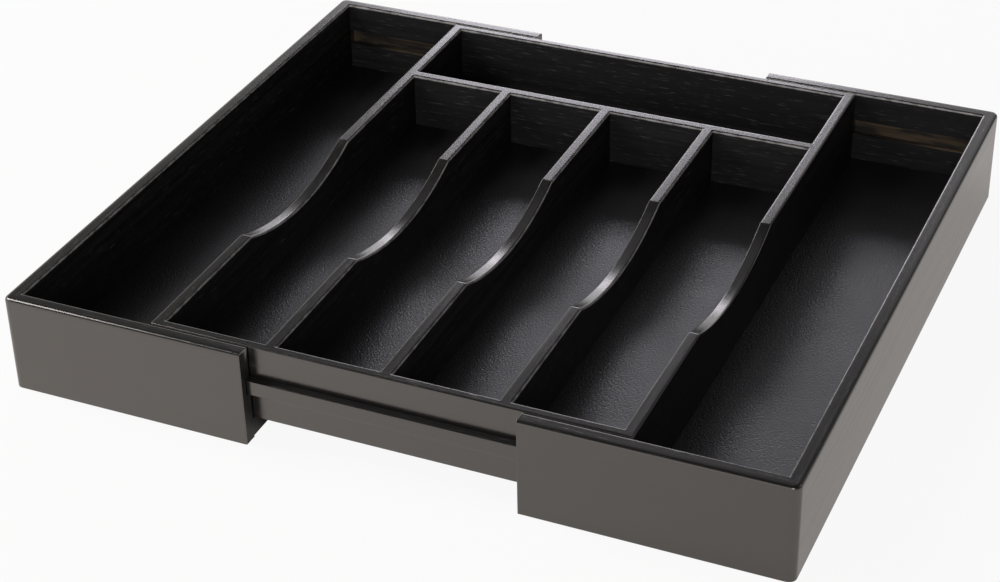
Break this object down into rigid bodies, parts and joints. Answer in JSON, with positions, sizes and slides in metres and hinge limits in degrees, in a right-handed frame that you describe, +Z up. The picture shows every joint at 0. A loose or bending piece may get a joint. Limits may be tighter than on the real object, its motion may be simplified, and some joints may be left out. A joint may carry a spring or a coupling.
{
  "type": "expandable cutlery tray",
  "caption": "Expandable black-stained bamboo cutlery tray: a core of lengthwise pockets with finger scoops and a cross bay, between wings that slide out sideways on runners.",
  "frame": {"origin": "on the surface that the tray stands on, under the middle of the tray", "axes": "+X along the slide of the right wing, +Y from the front to the cross bay, +Z up"},
  "size_m": [0.4946, 0.45, 0.0635],
  "materials": {
    "stained_bamboo": "satin black stain",
    "floor_panel": "pebbled black paint"
  },
  "bodies": {
    "core": {"core_front_rail": "stained_bamboo", "core_back_rail": "stained_bamboo", "core_left_wall": "stained_bamboo", "core_right_wall": "stained_bamboo", "divider_1": "stained_bamboo", "divider_2": "stained_bamboo", "divider_3": "stained_bamboo", "cross_divider": "stained_bamboo", "core_floor": "floor_panel", "front_runner": "stained_bamboo", "back_runner": "stained_bamboo"},
    "left_wing": {"left_wing_side_wall": "stained_bamboo", "left_wing_front_panel": "stained_bamboo", "left_wing_back_panel": "stained_bamboo", "left_wing_floor": "floor_panel", "left_wing_end_strip": "stained_bamboo"},
    "right_wing": {"right_wing_side_wall": "stained_bamboo", "right_wing_front_panel": "stained_bamboo", "right_wing_back_panel": "stained_bamboo", "right_wing_floor": "floor_panel", "right_wing_end_strip": "stained_bamboo"}
  },
  "joints": [
    {"name": "left_slide", "type": "slide", "parent": "core", "child": "left_wing", "axis": [-1, 0, 0], "range_m": [-0.085, 0]},
    {"name": "right_slide", "type": "slide", "parent": "core", "child": "right_wing", "axis": [1, 0, 0], "range_m": [-0.085, 0]}
  ]
}
